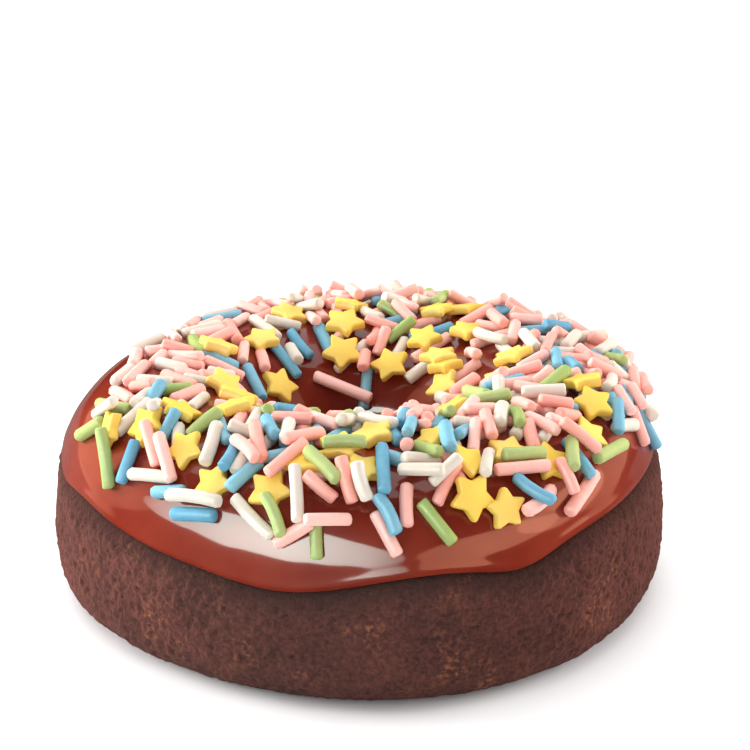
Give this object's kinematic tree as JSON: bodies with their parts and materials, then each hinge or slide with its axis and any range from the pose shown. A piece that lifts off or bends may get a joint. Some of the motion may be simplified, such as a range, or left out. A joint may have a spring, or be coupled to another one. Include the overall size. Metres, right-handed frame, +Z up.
{
  "type": "iced ring doughnut",
  "caption": "Dark chocolate cake ring doughnut with chocolate icing, topped with a heap of pastel sugar strands and yellow sugar stars.",
  "frame": {"origin": "centre of the bounding box at the base, on the surface that the doughnut rests on", "axes": "+Z up through the hole, -Y towards the side that the picture shows in front, +X to the picture's right"},
  "size_m": [0.0855, 0.0851, 0.0341],
  "materials": {
    "cake": "matt",
    "icing": "gloss"
  },
  "bodies": {
    "root": {"cake": "cake", "icing": "icing"}
  },
  "joints": []
}
